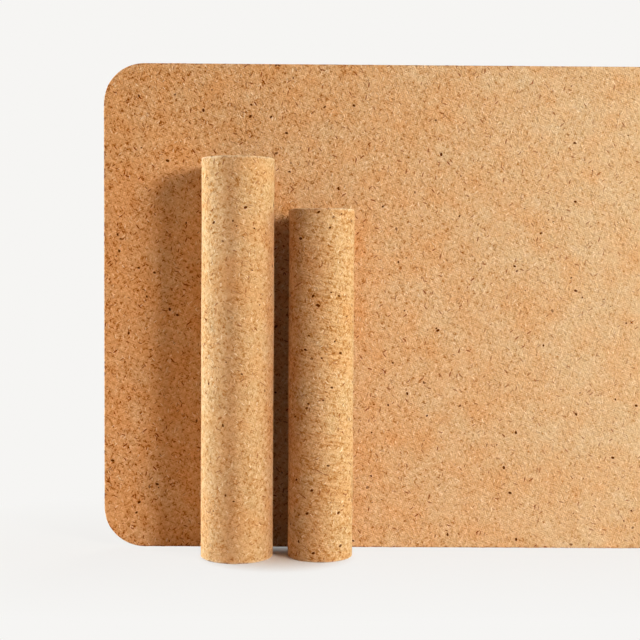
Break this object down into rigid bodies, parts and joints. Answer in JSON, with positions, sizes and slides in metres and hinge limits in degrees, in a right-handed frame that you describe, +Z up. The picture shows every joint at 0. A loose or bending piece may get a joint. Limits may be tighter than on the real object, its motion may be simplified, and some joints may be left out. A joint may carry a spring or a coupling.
{
  "type": "mouse pad",
  "caption": "Cork mouse pad with round corners on a cloth carrier and a rubber grip base, standing open on its long edge behind smaller pads of the same laminate that are rolled up.",
  "frame": {"origin": "middle of the footprint, on the surface that the pads stand on", "axes": "+X along the long edge of the open pad, +Y towards its rubber base (the cork face looks along -Y), +Z up"},
  "size_m": [0.6, 0.0475, 0.3],
  "materials": {
    "cork": "matte",
    "carrier_cloth": "matte",
    "grip_rubber": "matte"
  },
  "bodies": {
    "root": {"open_pad_cork_face": "cork", "open_pad_carrier_cloth": "carrier_cloth", "open_pad_grip_base": "grip_rubber", "large_roll_cork_face": "cork", "large_roll_carrier_cloth": "carrier_cloth", "large_roll_grip_base": "grip_rubber", "small_roll_cork_face": "cork", "small_roll_carrier_cloth": "carrier_cloth", "small_roll_grip_base": "grip_rubber"}
  },
  "joints": []
}
